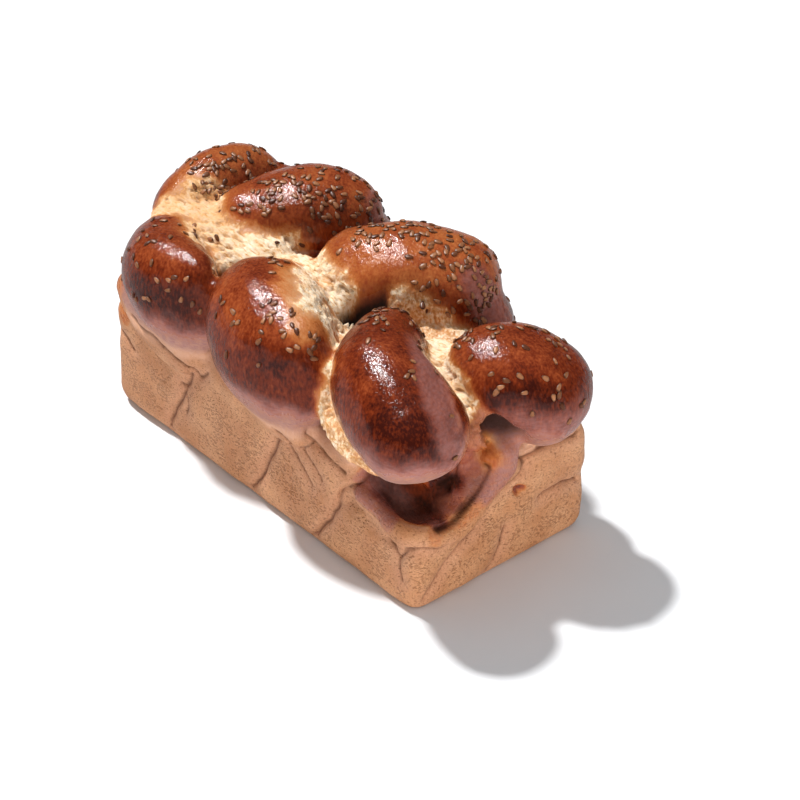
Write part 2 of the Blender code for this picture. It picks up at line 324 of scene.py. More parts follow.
ends = np.empty(len(loaf.data.edges) * 2, int)
loaf.data.edges.foreach_get("vertices", ends)
EDGE_A, EDGE_B = ends.reshape(-1, 2).T
DEGREE = np.bincount(ends, minlength=len(loaf.data.vertices))


def spread(values, rounds):
    """Relaxes points or values: each goes halfway to the mean of its neighbours."""
    flat = values.reshape(len(DEGREE), -1)
    for _ in range(rounds):
        total = np.stack([np.bincount(EDGE_A, column[EDGE_B], len(DEGREE))
                          + np.bincount(EDGE_B, column[EDGE_A], len(DEGREE)) for column in flat.T], axis=1)
        flat = (flat + total / DEGREE[:, None]) / 2
    return flat.reshape(values.shape)


RELAX_ROUNDS = 6
skin = spread(points_of(loaf), RELAX_ROUNDS)
skin[:, 2] = np.maximum(skin[:, 2], 0.0)
move_points(loaf, skin)
bpy.ops.object.shade_smooth()
print("skin", len(loaf.data.vertices), "points", len(loaf.data.polygons), "faces")


# --- Crust relief ---------------------------------------------------------------------------------
# The crust is worked as by a sculptor's tools: the faces of the tin wall are creased and pillowed
# between its seams, the dough that tore open as it rose is roughened into fibres, and the smooth
# lobes get the slow swells of a hand-rolled strand.
def ease(value, low, high):
    """0 below low, 1 above high, smooth between."""
    t = np.clip((value - low) / (high - low), 0, 1)
    return t * t * (3 - 2 * t)


def normals_of(piece):
    """The way each point of a mesh faces."""
    normals = np.empty(len(piece.data.vertices) * 3)
    piece.data.vertices.foreach_get("normal", normals)
    return normals.reshape(-1, 3)


NOISE_SOFTNESS, NOISE_STEP = 0.9, 2.1


def noise_at(points, grain, shift, octaves=3):
    """Even noise from -1 to 1 at points in mm, with bumps about grain mm wide, or three widths."""
    scaled = points / np.asarray(grain, float) + shift
    return np.array([noise.fractal(Vector(p), NOISE_SOFTNESS, NOISE_STEP, octaves) for p in scaled])


FAR_OUTSIDE = 9.0
SECTIONS, SECTION_REACH = 36, 6.0
THINNEST_TIP = 0.25
LOOK_AROUND = 1.6


def closeness(points, strands):
    """How deep each point sits in its nearest strand: 1 on that strand's surface, less inside it."""
    best = np.full(len(points), FAR_OUTSIDE)
    for stations in strands:
        strand = Strand(stations, SECTIONS)
        body = np.maximum(strand.swell, THINNEST_TIP)
        reach = max(strand.wide.max(), strand.tall.max()) * LOOK_AROUND
        low, high = strand.middle.min(axis=0) - reach, strand.middle.max(axis=0) + reach
        near = np.flatnonzero(np.all((points > low) & (points < high), axis=1))
        offset = points[near][:, None, :] - strand.middle[None]
        sideways = np.einsum("ijk,jk->ij", offset, strand.across) / (strand.wide * body)
        upward = np.einsum("ijk,jk->ij", offset, strand.rise) / (strand.tall * body)
        forward = np.einsum("ijk,jk->ij", offset, strand.ahead) / SECTION_REACH
        depth = np.sqrt(sideways**2 + upward**2 + forward**2).min(axis=1)
        best[near] = np.minimum(best[near], depth)
    return best


def path_distance(points, path):
    """Distance in mm from each point to a bent line, and the vector from the line to the point."""
    nearest = np.full(len(points), 1e9)
    offset = np.zeros((len(points), 3))
    for start, end in zip(path[:-1], path[1:]):
        step = end - start
        along = np.clip((points - start) @ step / (step @ step), 0, 1)
        gap = points - (start + along[:, None] * step)
        distance = np.linalg.norm(gap, axis=1)
        closer = distance < nearest
        nearest[closer] = distance[closer]
        offset[closer] = gap[closer]
    return nearest, offset


# Seams and creases of the walls, as paths of (x, y, z): near side, front end, far side, back end.
SIDE, END = HALF_WIDTH, HALF_LENGTH
SEAMS = [
    [(-66, -SIDE, -2), (-60, -SIDE, 15), (-52, -SIDE, 30), (-45, -SIDE, 43)],
    [(-8, -SIDE, -2), (0, -SIDE, 12), (7, -SIDE, 27), (14, -SIDE, 43)],
    [(33, -SIDE, -2), (44, -SIDE, 14), (52, -SIDE, 28), (59, -SIDE, 42), (70, -SIDE, 58)],
    [(END, -42, -2), (END, -41, 8), (END, -35, 14), (END, -29, 20), (END, -22, 25), (END, -16, 29),
     (END, -11, 35), (END, -3, 42), (END, 5, 42), (END, 10, 46), (END, 12, 55)],
    [(END, -9, -2), (END, -2, 8), (END, 2, 20)],
    [(END, 22, 27), (END, 33, 28), (END, 45, 25)],
    [(-78, SIDE, -2), (-70, SIDE, 16), (-64, SIDE, 36)],
    [(-30, SIDE, -2), (-24, SIDE, 15), (-14, SIDE, 38)],
    [(26, SIDE, -2), (33, SIDE, 18), (44, SIDE, 40)],
    [(-END, -12, -2), (-END, -5, 14), (-END, 4, 30), (-END, 3, 46)],
]
CREASES = [
    [(61, -SIDE, 44), (63, -SIDE, 36), (70, -SIDE, 36), (76, -SIDE, 35), (87, -SIDE, 29), (91, -SIDE, 25),
     (93, -SIDE, 14)],
    [(91, -SIDE, 25), (98, -SIDE, 32), (END, -46, 33), (END, -39, 31), (END, -32, 30)],
    [(END, 12, 55), (END, 19, 55), (END, 29, 53), (END, 39, 51), (END, 47, 55)],
    [(28, -SIDE, 46), (36, -SIDE, 41), (42, -SIDE, 36)],
    [(36, -SIDE, 55), (45, -SIDE, 51), (55, -SIDE, 47)],
    [(20, -SIDE, 42), (29, -SIDE, 36), (36, -SIDE, 30)],
    [(-99, -SIDE, 37), (-93, -SIDE, 36), (-88, -SIDE, 33)],
    [(-54, -SIDE, 33), (-50, -SIDE, 25), (-51, -SIDE, 18)],
    [(-81, -54, 57), (-67, -56, 56), (-57, -56, 54), (-45, -54, 50), (-39, -49, 44), (-35, -49, 49)],
    [(20, -56, 52), (27, -55, 50), (28, -49, 45), (35, -48, 51)],
]
SEAM_DEPTH, SEAM_REACH = 2.3, 1.7
CREASE_DEPTH, CREASE_REACH = 1.3, 1.3
SHOULDER_DEPTH, SHOULDER_REACH = 0.6, 3.2
PINCH = 0.35
WANDER, WANDER_GRAIN = 1.2, 5
OFF_SKIN, FAR_AWAY = 5.0, 99.0


def surface_gap(points, facing, path):
    """Distance along the skin to a line that may hang a little off it, and the way from it."""
    line = spline(path, 6 * len(path))
    wander = np.array([[noise.noise(Vector(p / WANDER_GRAIN + k * 9)) for k in range(3)] for p in line])
    gap, offset = path_distance(points, line + wander * WANDER)
    lift = np.einsum("ij,ij->i", offset, facing)
    offset = offset - facing * lift[:, None]
    return np.where(np.abs(lift) < OFF_SKIN, np.linalg.norm(offset, axis=1), gap + 9), offset


# Each line is a narrow cut with wide soft shoulders, and the skin beside it is drawn in towards it.
facing = normals_of(loaf)
line_gap = np.full(len(skin), FAR_AWAY)
push = np.zeros(len(skin))
for paths, depth, reach in ((SEAMS, SEAM_DEPTH, SEAM_REACH), (CREASES, CREASE_DEPTH, CREASE_REACH)):
    for path in paths:
        gap, offset = surface_gap(skin, facing, path)
        skin -= offset * (PINCH * np.exp(-(gap / (2 * reach))**2))[:, None]
        push -= depth * np.exp(-(gap / reach)**2)
        push -= SHOULDER_DEPTH * depth * np.exp(-(gap / (SHOULDER_REACH * reach))**2)
        line_gap = np.minimum(line_gap, gap)

# Where dough tore open: the soft webs between the lobes, and patches (x, y, z, radius) on their edges.
TORN_PATCHES = [
    (-90, -24, 96, 9), (-88, -10, 98, 9), (-78, -16, 98, 10), (-66, -22, 97, 9), (-56, -20, 97, 8),
    (-83, -3, 96, 6), (-60, -32, 99, 6), (-47, -25, 94, 8), (-42, -16, 96, 8), (-38, -8, 97, 6),
    (-35, -2, 94, 7), (-36, -38, 98, 4), (7, -24, 105, 10), (16, -30, 106, 9), (21, -38, 107, 7),
    (10, -15, 98, 9), (24, -27, 98, 8), (-4, -14, 104, 8), (29, -36, 102, 6), (-10, -8, 101, 6),
    (-2, -6, 103, 5), (34, 2, 97, 7), (43, 8, 92, 8), (51, 10, 91, 7), (38, -3, 97, 6),
    (36, -36, 97, 5), (45, -44, 92, 5), (48, -48, 84, 5), (48, -50, 76, 6), (56, -54, 71, 7),
    (65, -53, 68, 7), (74, -52, 67, 5), (60, 2, 92, 7), (67, -3, 93, 8), (76, -7, 91, 8),
    (84, -11, 90, 8), (92, -15, 86, 7), (98, -17, 80, 5),
]
webs = [stations for name, stations in FILLING.items() if name.startswith("web")]
in_lobe = closeness(skin, LOBES.values())
in_web = closeness(skin, webs)
torn = ease(in_lobe - in_web, -0.02, 0.18) * ease(skin[:, 2], 60, 68)
ragged = noise_at(skin, 6.0, 3.0) * 0.45
for x, y, z, radius in TORN_PATCHES:
    gap = np.linalg.norm(skin - np.array((x, y, z)), axis=1) / radius
    torn = np.maximum(torn, 1 - ease(gap + ragged, 0.45, 1.4))

# Torn dough is drawn out into fibres along the loaf, a little askew, 9 mm long and 3 mm wide.
FIBRE_GRAIN, CRUMB_GRAIN = (2.6, 9.0, 3.2), 2.6
FIBRE_HEIGHT, CRUMB_HEIGHT, TEAR_DEPTH = 1.4, 0.5, 0.8
normals = normals_of(loaf)
pull = skin @ np.array(((0.2, -1.0, 0.1), (1.0, 0.2, 0.1), (0.0, -0.1, 1.0))).T
fibre = np.zeros(len(skin))
tearing = np.flatnonzero(torn > 0.02)
fibre[tearing] = 1 - 2 * np.abs(noise_at(pull[tearing], FIBRE_GRAIN, 11.0, 4))
crumb = np.zeros(len(skin))
crumb[tearing] = noise_at(skin[tearing], CRUMB_GRAIN, 5.0, 3)
push += torn * (FIBRE_HEIGHT * fibre - TEAR_DEPTH + CRUMB_HEIGHT * crumb)

SWELL_GRAIN, SWELL_HEIGHT = 24.0, 0.9
DIMPLE_GRAIN, DIMPLE_HEIGHT = 6.5, 0.22
swell = noise_at(skin, SWELL_GRAIN, 1.0, 2)
dimple = noise_at(skin, DIMPLE_GRAIN, 2.0, 3)
push += SWELL_HEIGHT * swell + DIMPLE_HEIGHT * dimple
on_wall = 1 - ease(skin[:, 2], 48, 58)
on_base = 1 - ease(skin[:, 2], 0.5, 4)
skin += normals * (push * (1 - on_base))[:, None]

# The open corner: three hollows, and the folded dough that shows inside them. Each is a path that is
# pressed in, or raised where below 0, by so many mm, over so many mm to each side.
POCKET = [([(68, -44, 50), (80, -41, 47), (89, -34, 46), (93, -27, 48), (94, -20, 56)], 8.0, 7.5),
          ([(72, -42, 46), (80, -44, 45), (88, -44, 44), (95, -42, 43), (100, -37, 42), (101, -31, 42)],
           5.5, 5.0),
          ([(99, -6, 76), (99, 0, 73), (102, 5, 71)], 8.0, 6.0),
          ([(84, -41, 52), (89, -35, 48), (97, -35, 42)], -4.0, 3.0),
          ([(94, -16, 60), (93, -24, 50), (96, -31, 44)], -5.0, 3.2),
          ([(99, -8, 66), (99, -7, 61)], -3.5, 4.0)]


def groove(path, depth, reach):
    """Presses the skin in along a path, or raises it where depth is below 0."""
    gap, _ = path_distance(skin, spline(path, 12))
    weight = np.exp(-(gap / reach)**2)
    skin[:] -= spread(normals, 4) * (depth * weight)[:, None]
    return weight


hollow, lip_hollow, hole = (groove(*path) for path in POCKET[:3])
for path in POCKET[3:]:
    groove(*path)

# Creases between its folds, and a small pit in the corner's skin.
POCKET_LINES = [[(78, -33, 46), (85, -30, 41), (94, -30, 40)],
                [(89, -20, 50), (88, -23, 46), (90, -27, 42), (94, -30, 40)],
                [(100, -9, 57), (101, -18, 47), (101, -27, 40), (101, -36, 39)]]
POCKET_LINE_DEPTH, POCKET_LINE_REACH = 2.5, 1.8
for path in POCKET_LINES:
    groove(path, POCKET_LINE_DEPTH, POCKET_LINE_REACH)
groove([(102, 8, 38), (102, 10, 36)], 3.0, 2.5)

# The black crevice between the middle strands: pressed straight down, so heights count for less.
PIT = [(19, -17, 88), (19.5, -9, 90), (22.5, -5, 92), (26, -1, 95)]
PIT_DEPTH, PIT_REACH = 14.0, 2.5
FLATTEN = (1, 1, 0.3)
gap, _ = path_distance(skin * FLATTEN, spline(PIT, 16) * FLATTEN)
pit = np.exp(-(gap / PIT_REACH)**2) * ease(skin[:, 2], 78, 84)
skin[:, 2] -= PIT_DEPTH * pit
torn *= (1 - pit) * (1 - ease(hole, 0.1, 0.4))
skin[:, 2] = np.maximum(skin[:, 2], 0.0)
move_points(loaf, skin)

# --- Bake -----------------------------------------------------------------------------------------
# Egg wash and oven heat browned the tops of the lobes; their flanks fade to mauve, partly their own colour
# and partly a painted reflection of the pale table, and then to tan; the torn dough stayed pale, and the
# walls that lay against the tin are light brown. Shade in the hollows, in the crevice and on flanks turned
# from the lamps is painted in as darker brown. Kept as values on the skin.
# The last value is the painted shade added on the shaded flank patches.
BAKE, DARKEST, SHADE_DEPTH = 0.9, 0.88, 0.1
# How much darker than BAKE each lobe is, and the height in mm at which its glaze starts.
LOBE_BAKE = {"left_1": (0.14, 74), "left_2": (0.07, 64), "left_3": (0.04, 65), "right_1": (0.08, 68),
             "right_2": (-0.08, 62), "right_3": (0.02, 62), "right_4": (-0.08, 62)}
# Patches that baked paler than the lobe they lie on, as (x, y, z, radius).
PALE_PATCHES = [(3, -31, 111, 9), (12, -39, 111, 9), (22, -43, 108, 9), (30, -47, 104, 8),
                (49, -50, 98, 5), (-52, -9, 94, 7), (-44, -4, 92, 8), (-36, 4, 90, 7),
                (66, -12, 105, 5), (75, -19, 107, 5), (84, -24, 106, 5), (92, -28, 104, 5),
                (99, -31, 100, 5), (105, -33, 94, 6)]
# Painted shade: patches on the lobes' flanks that turn away from the lamps, as (x, y, z, radius).
SHADED_PATCHES = [(88, -50, 101, 11), (26, -61, 97, 9), (100, -48, 94, 12), (106, -42, 90, 10),
                (90, -56, 96, 9), (44, 15, 100, 8), (50, 24, 96, 9), (108, 2, 95, 10), (102, -4, 91, 7),
                (113, 8, 91, 9), (-45, -58, 84, 10), (-61, -61, 84, 9)]
# Strokes, as (path, radius, bake, mauve sheen, tear) that the skin takes on there. Inside the open corner
# the darkest are its dark baked skin together with painted shade of its hollows, and the mauve is partly
# painted reflection.
STROKES = [
    ([(61, -50, 43), (71, -50, 41), (80, -50, 39), (90, -50, 36)], 7, 0.22, 0.6, 0.0),
    ([(104, -38, 38), (104, -23, 42), (104, -10, 50), (104, 0, 58)], 7, 0.33, 0.25, 0.0),
    ([(63, -40, 47), (66, -46, 43), (75, -45, 42), (84, -47, 41)], 6, 0.5, 0.85, 0.0),
    ([(66, -38, 46), (76, -39, 43), (84, -38, 41), (92, -38, 40), (96, -33, 40)], 6, 0.92, 0.45, 0.0),
    ([(72, -20, 108), (88, -30, 106), (100, -36, 99), (107, -38, 88)], 7.5, 0.84, 0.55, 0.0),
    ([(104, 3, 84), (110, 12, 80), (116, 22, 77)], 9, 0.84, 0.55, 0.0),
    ([(48, 31, 105), (52, 33, 96), (53, 36, 88)], 8, 0.8, 0.55, 0.0),
    ([(-28, 42, 102), (-26, 46, 92)], 8, 0.72, 0.5, 0.0),
    ([(100, -15, 73), (98, -15, 67), (95, -13, 54), (94, -20, 47), (94, -27, 43)], 6.5, 0.7, 0.4, 0.0),
    ([(101, -12, 47), (103, -3, 53), (103, 3, 58), (104, 3, 64), (103, 5, 67)], 7, 0.5, 0.9, 0.0),
    ([(84, -24, 50), (88, -21, 49), (91, -19, 49)], 5, 1.0, 0.0, 0.0),
    ([(100, -9, 67), (101, -8, 61)], 5.5, 0.58, 0.0, 0.0),
    ([(106, -24, 80), (103, -17, 78), (100, -12, 76), (96, -9, 79)], 8, 0.5, 0.4, 0.0),
    ([(36, 4, 96), (44, 9, 91), (52, 10, 90), (60, 8, 90)], 8, 0.36, 0.0, 0.5),
    ([(50, -50, 82), (54, -54, 74), (64, -55, 69), (76, -53, 67)], 8, 0.2, 0.3, 0.5),
    ([(101, 9, 37), (103, 10, 36)], 3, 0.95, 0.3, 0.0),
    ([(104, -33, 34), (105, -30, 34)], 3.5, 0.1, 0.0, 0.9),
    ([(-95, -51, 66), (-91, -51, 58), (-93, -50, 48)], 6, 0.45, 0.0, 0.0),
]
normals = normals_of(loaf)
height = skin[:, 2]
lobe_depths = np.stack([closeness(skin, [LOBES[name]]) for name in LOBE_BAKE], axis=1)
LOBE_SHARPNESS = 8
nearness = np.exp(-LOBE_SHARPNESS * lobe_depths)
tone, foot = (nearness @ np.array(list(LOBE_BAKE.values())) / nearness.sum(axis=1)[:, None]).T
# The crests are a little paler, the glaze thins out at its foot and beside the tears, and just below
# it the flanks carry a mauve sheen, partly a painted reflection of the pale table.
HALO_ROUNDS = 60
PATCH_GRAIN = 11.0
halo = spread(torn, HALO_ROUNDS)
patchy = noise_at(skin, PATCH_GRAIN, 7.0, 3)
ragged_height = height + 4 * patchy
bake = BAKE + tone - 0.2 * ease(height, 84, 106) + 0.1 * patchy
bake *= ease(ragged_height, foot - 5, foot + 11)
bake *= 1 - 0.68 * ease(halo, 0.04, 0.6)
below_glaze = 1 - ease(ragged_height, foot + 2, foot + 15)
ash = ease(height, foot - 10, foot - 2) * below_glaze * (1 - ease(halo, 0.05, 0.3))
# Beyond FRONT_STRANDS the paler patches take on the mauve sheen, partly a painted reflection.
FRONT_STRANDS = 50
for x, y, z, radius in PALE_PATCHES:
    gap = np.linalg.norm(skin - np.array((x, y, z)), axis=1) / radius
    paler = 1 - ease(gap + 0.5 * ragged, 0.5, 1.3)
    bake *= 1 - 0.5 * paler
    if x > FRONT_STRANDS:
        ash = np.maximum(ash, 0.75 * paler)


def along(path, radius):
    """1 on a path, fading to 0 at about its radius, with a ragged edge."""
    gap, _ = path_distance(skin, np.array(path, float))
    return 1 - ease(gap / radius + 0.5 * ragged, 0.5, 1.3)


# Painted shade: the bake is capped at its darkest, then darkened further on the shaded flank patches.
flank_shade = np.max([along([(x, y, z), (x + 1, y, z)], radius) for x, y, z, radius in SHADED_PATCHES], axis=0)
bake = np.minimum(bake, DARKEST) + SHADE_DEPTH * flank_shade
# Painted shade, on top of their dark baked skin: the hollows and the hole of the open corner are browned
# nearly to the darkest.
bake = np.maximum(bake, 0.9 * ease(np.maximum(hollow, hole), 0.2, 0.8)) * (1 - torn)
for path, radius, *target in STROKES:
    stroke = along(path, radius)
    for values, goal in zip((bake, ash, torn), target):
        values += (goal - values) * stroke
DENT_RADIUS = 2.4
dents = [along(path, DENT_RADIUS) for path in POCKET_LINES]
# Painted shade: the crevice between the middle strands is made darkest.
bake = np.maximum(bake, pit)

# The tears of the back end took more heat. What lies deep is painted near black as shade, and how far
# the skin has sunk below its neighbours is kept for the painted shade of the crumb's hollows.
warm = ease(-skin[:, 0], 42, 66) * 0.5
deep = np.max([ease(pit, 0.12, 0.45), 0.85 * ease(hole, 0.3, 0.8), 0.5 * ease(hollow, 0.5, 1.0),
               *(0.8 * dent for dent in dents)], axis=0)
SUNK_ROUNDS = 8
relaxed = spread(skin, SUNK_ROUNDS)
sunk = np.einsum("ij,ij->i", relaxed - skin, normals)


CLEAR_OF_LINES = 12.0


def keep_values(piece, name, values):
    """Stores one number per point for the material."""
    layer = piece.data.attributes.new(name, "FLOAT", "POINT")
    layer.data.foreach_set("value", values.astype(np.float32))


keep_values(loaf, "bake", bake)
keep_values(loaf, "torn", torn)
keep_values(loaf, "wall", on_wall * (1 - np.maximum(hollow, lip_hollow)))
keep_values(loaf, "warm", warm)
keep_values(loaf, "line", np.minimum(line_gap, CLEAR_OF_LINES))
keep_values(loaf, "ash", ash)
keep_values(loaf, "deep", deep)
keep_values(loaf, "sunk", sunk)
move_points(loaf, skin + TIN_MIDDLE)

# Baked milk bread: egg-glazed brown skin over a soft crumb. One dielectric, glossy where the wash
# dried in a film and matt where dough tore or lay on the tin; fine pores and wrinkles are relief.
crust = bpy.data.materials.new("baked_milk_bread_crust")
crust.use_nodes = True
tree = crust.node_tree
shader = tree.nodes["Principled BSDF"]
shader.inputs["IOR"].default_value = 1.42
kept_values = {name: add_node(tree, "ShaderNodeAttribute", {"attribute_name": name}).outputs["Fac"]
               for name in ("bake", "torn", "wall", "warm", "line", "ash", "deep", "sunk")}
place = add_node(tree, "ShaderNodeTexCoord").outputs["Object"]
level = add_node(tree, "ShaderNodeMapping", {"Scale": (0.5, 0.5, 1.2)}, {"Vector": place})
upright = add_node(tree, "ShaderNodeMapping", {"Scale": (1, 1, 0.4)}, {"Vector": place})

# Glaze: mottled at 3 mm, with 1 mm streaks that run down the flanks; the mauve of the lower flanks,
# partly a painted reflection of the pale table, comes in scales.
mottle = add_node(tree, "ShaderNodeTexNoise", {"Scale": 1 / (3 * MM), "Detail": 4.0, "Roughness": 0.6},
                  {"Vector": place})
streak = add_node(tree, "ShaderNodeTexNoise", {"Scale": 1 / (1.1 * MM), "Detail": 3.0}, {"Vector": upright})
scales = add_node(tree, "ShaderNodeTexNoise", {"Scale": 1 / (1.3 * MM), "Detail": 3.0}, {"Vector": level})
mottling = add_node(tree, "ShaderNodeMapRange",
                    {"From Min": 0.3, "From Max": 0.7, "To Min": -0.05, "To Max": 0.05}, {"Value": mottle})
streaking = add_node(tree, "ShaderNodeMapRange",
                     {"From Min": 0.3, "From Max": 0.7, "To Min": -0.08, "To Max": 0.08}, {"Value": streak})
uneven = add_node(tree, "ShaderNodeMath", None, {0: mottling, 1: streaking})
browning_and_shade = add_node(tree, "ShaderNodeMath", None, {0: kept_values["bake"], 1: uneven})
brown = add_node(tree, "ShaderNodeValToRGB", {"stops": [
    (0.0, "#c8977a"), (0.2, "#c28858"), (0.38, "#b86f38"), (0.54, "#a75c2e"), (0.7, "#8e411f"),
    (0.84, "#6a260e"), (1.0, "#360f07")]}, {"Fac": browning_and_shade})
scaly = add_node(tree, "ShaderNodeMapRange",
                 {"From Min": 0.35, "From Max": 0.65, "To Min": 0.6, "To Max": 1.0}, {"Value": scales})
mauve = add_node(tree, "ShaderNodeMath", {"operation": "MULTIPLY"}, {0: kept_values["ash"], 1: scaly})
brown = add_node(tree, "ShaderNodeMix", {"data_type": "RGBA", 7: "#986a64"}, {0: mauve, 6: brown})

# Crumb of the tears: cream, with painted shade browning its hollows, and orange where it meets the glaze.
pulled = add_node(tree, "ShaderNodeMapping", {"Scale": (0.35, 1, 0.8)}, {"Vector": place})
fleck = add_node(tree, "ShaderNodeTexNoise", {"Scale": 1 / (1.3 * MM), "Detail": 4.0, "Distortion": 0.5},
                 {"Vector": pulled})
drift = add_node(tree, "ShaderNodeTexNoise", {"Scale": 1 / (7 * MM), "Detail": 2.0}, {"Vector": place})
cream = add_node(tree, "ShaderNodeValToRGB", {"stops": [
    (0.27, "#b07843"), (0.36, "#e2b482"), (0.47, "#f7dbb4"), (0.7, "#fff0da")]}, {"Fac": fleck})
golden = add_node(tree, "ShaderNodeMapRange", {"From Min": 0.42, "From Max": 0.66, "To Max": 0.3},
                  {"Value": drift})
golden = add_node(tree, "ShaderNodeMath", None, {0: golden, 1: kept_values["warm"]})
cream = add_node(tree, "ShaderNodeMix", {"data_type": "RGBA", 7: "#dfa263"}, {0: golden, 6: cream})
# Painted shade: browner where the skin has sunk below its neighbours.
hollow_shade = add_node(tree, "ShaderNodeMapRange", {"From Min": 0.16, "From Max": 0.7, "To Max": 0.6},
                  {"Value": kept_values["sunk"]})
cream = add_node(tree, "ShaderNodeMix", {"data_type": "RGBA", 7: "#a06c3f"}, {0: hollow_shade, 6: cream})
frayed = add_node(tree, "ShaderNodeMapRange",
                  {"From Min": 0.3, "From Max": 0.7, "To Min": -0.2, "To Max": 0.2}, {"Value": streak})
tearing = add_node(tree, "ShaderNodeMath", None, {0: kept_values["torn"], 1: frayed})
open_crumb = add_node(tree, "ShaderNodeMapRange", {"From Min": 0.3, "From Max": 0.7}, {"Value": tearing})
edge = add_node(tree, "ShaderNodeMix", {"data_type": "RGBA", 6: "#c9853f"}, {0: open_crumb, 7: cream})
broken = add_node(tree, "ShaderNodeMapRange", {"From Min": 0.2, "From Max": 0.5}, {"Value": tearing})
top = add_node(tree, "ShaderNodeMix", {"data_type": "RGBA"}, {0: broken, 6: brown, 7: edge})

# Tin wall: tan and sandy, pinker along its seams, pitted in the lower half where gas was trapped
# against the tin. The pits are about 0.7 mm high and twice as long.
cloud = add_node(tree, "ShaderNodeTexNoise", {"Scale": 1 / (14 * MM), "Detail": 3.0}, {"Vector": place})
tan = add_node(tree, "ShaderNodeValToRGB", {"stops": [(0.35, "#b57b53"), (0.65, "#c8926a")]},
               {"Fac": cloud})
margin = add_node(tree, "ShaderNodeMapRange", {"From Min": 7.0, "From Max": 2.0, "To Max": 0.6},
                  {"Value": kept_values["line"]})
tan = add_node(tree, "ShaderNodeMix", {"data_type": "RGBA", 7: "#c28d6e"}, {0: margin, 6: tan})
sand = add_node(tree, "ShaderNodeTexNoise", {"Scale": 1 / (0.7 * MM), "Detail": 3.0}, {"Vector": place})
sandy = add_node(tree, "ShaderNodeMapRange", {"From Min": 0.42, "From Max": 0.7, "To Max": 0.55},
                 {"Value": sand})
tan = add_node(tree, "ShaderNodeMix", {"data_type": "RGBA", 7: "#94643f"}, {0: sandy, 6: tan})
height_in = add_node(tree, "ShaderNodeSeparateXYZ", None, {"Vector": place}).outputs["Z"]
above_foot = add_node(tree, "ShaderNodeMapRange", {"From Min": 3 * MM, "From Max": 10 * MM},
                      {"Value": height_in})
below_top = add_node(tree, "ShaderNodeMapRange", {"From Min": 46 * MM, "From Max": 26 * MM, "To Min": 0.25},
                     {"Value": height_in})
off_seam = add_node(tree, "ShaderNodeMapRange", {"From Min": 1.5, "From Max": 6.0},
                    {"Value": kept_values["line"]})
patchy_pits = add_node(tree, "ShaderNodeMapRange", {"From Min": 0.36, "From Max": 0.58}, {"Value": drift})
pitted = add_node(tree, "ShaderNodeMath", {"operation": "MULTIPLY"}, {0: above_foot, 1: below_top})
pitted = add_node(tree, "ShaderNodeMath", {"operation": "MULTIPLY"}, {0: pitted, 1: off_seam})
pitted = add_node(tree, "ShaderNodeMath", {"operation": "MULTIPLY"}, {0: pitted, 1: patchy_pits})
flattened = add_node(tree, "ShaderNodeMapping", {"Scale": (0.65, 0.65, 1.2)}, {"Vector": place})
gas = add_node(tree, "ShaderNodeTexNoise", {"Scale": 1 / (0.85 * MM), "Detail": 1.5}, {"Vector": flattened})
gas = add_node(tree, "ShaderNodeMath", {"operation": "MULTIPLY_ADD", 1: 0.13}, {0: pitted, 2: gas})
pit_in = add_node(tree, "ShaderNodeMapRange", {"From Min": 0.62, "From Max": 0.74}, {"Value": gas})
pit_in = add_node(tree, "ShaderNodeMath", {"operation": "MULTIPLY"}, {0: pit_in, 1: kept_values["wall"]})
pit_shade = add_node(tree, "ShaderNodeMath", {"operation": "MULTIPLY", 1: 0.45}, {0: pit_in})
tan = add_node(tree, "ShaderNodeMix", {"data_type": "RGBA", 7: "#7a411e"}, {0: pit_shade, 6: tan})
unbaked = add_node(tree, "ShaderNodeMapRange",
                   {"From Min": 0.15, "From Max": 0.4, "To Min": 1.0, "To Max": 0.0},
                   {"Value": kept_values["bake"]})
walled = add_node(tree, "ShaderNodeMath", {"operation": "MULTIPLY"}, {0: unbaked, 1: kept_values["wall"]})
walled = add_node(tree, "ShaderNodeMapRange", {"From Min": 0.3, "From Max": 0.7}, {"Value": walled})
surface = add_node(tree, "ShaderNodeMix", {"data_type": "RGBA"}, {0: walled, 6: top, 7: tan})
# Dark lines: along the seams they are the joints' own colour, along the creases under the aprons and in the
# corner they are painted shade.
seam_line_and_crease_shade = add_node(tree, "ShaderNodeMapRange", {"From Min": 1.5, "From Max": 0.3, "To Max": 0.8},
                   {"Value": kept_values["line"]})
surface = add_node(tree, "ShaderNodeMix", {"data_type": "RGBA", 7: "#5b2f1a"}, {0: seam_line_and_crease_shade, 6: surface})
# Painted shade: the crevice, the hole and the corner's hollows and creases are mixed towards near black.
surface = add_node(tree, "ShaderNodeMix", {"data_type": "RGBA", 7: "#1e1006"},
                   {0: kept_values["deep"], 6: surface})
tree.links.new(surface.outputs[2], shader.inputs["Base Color"])

glaze = add_node(tree, "ShaderNodeMapRange",
                 {"From Min": 0.25, "From Max": 0.6, "To Min": 0.5, "To Max": 0.14}, {"Value": browning_and_shade})
dull = add_node(tree, "ShaderNodeMapRange", {"From Min": 0.1, "From Max": 0.5, "To Max": 0.5},
                {"Value": kept_values["torn"]})
dull = add_node(tree, "ShaderNodeMath", None, {0: glaze, 1: dull})
dull = add_node(tree, "ShaderNodeMath", {"use_clamp": True}, {0: kept_values["deep"], 1: dull})
tree.links.new(dull.outputs["Value"], shader.inputs["Roughness"])

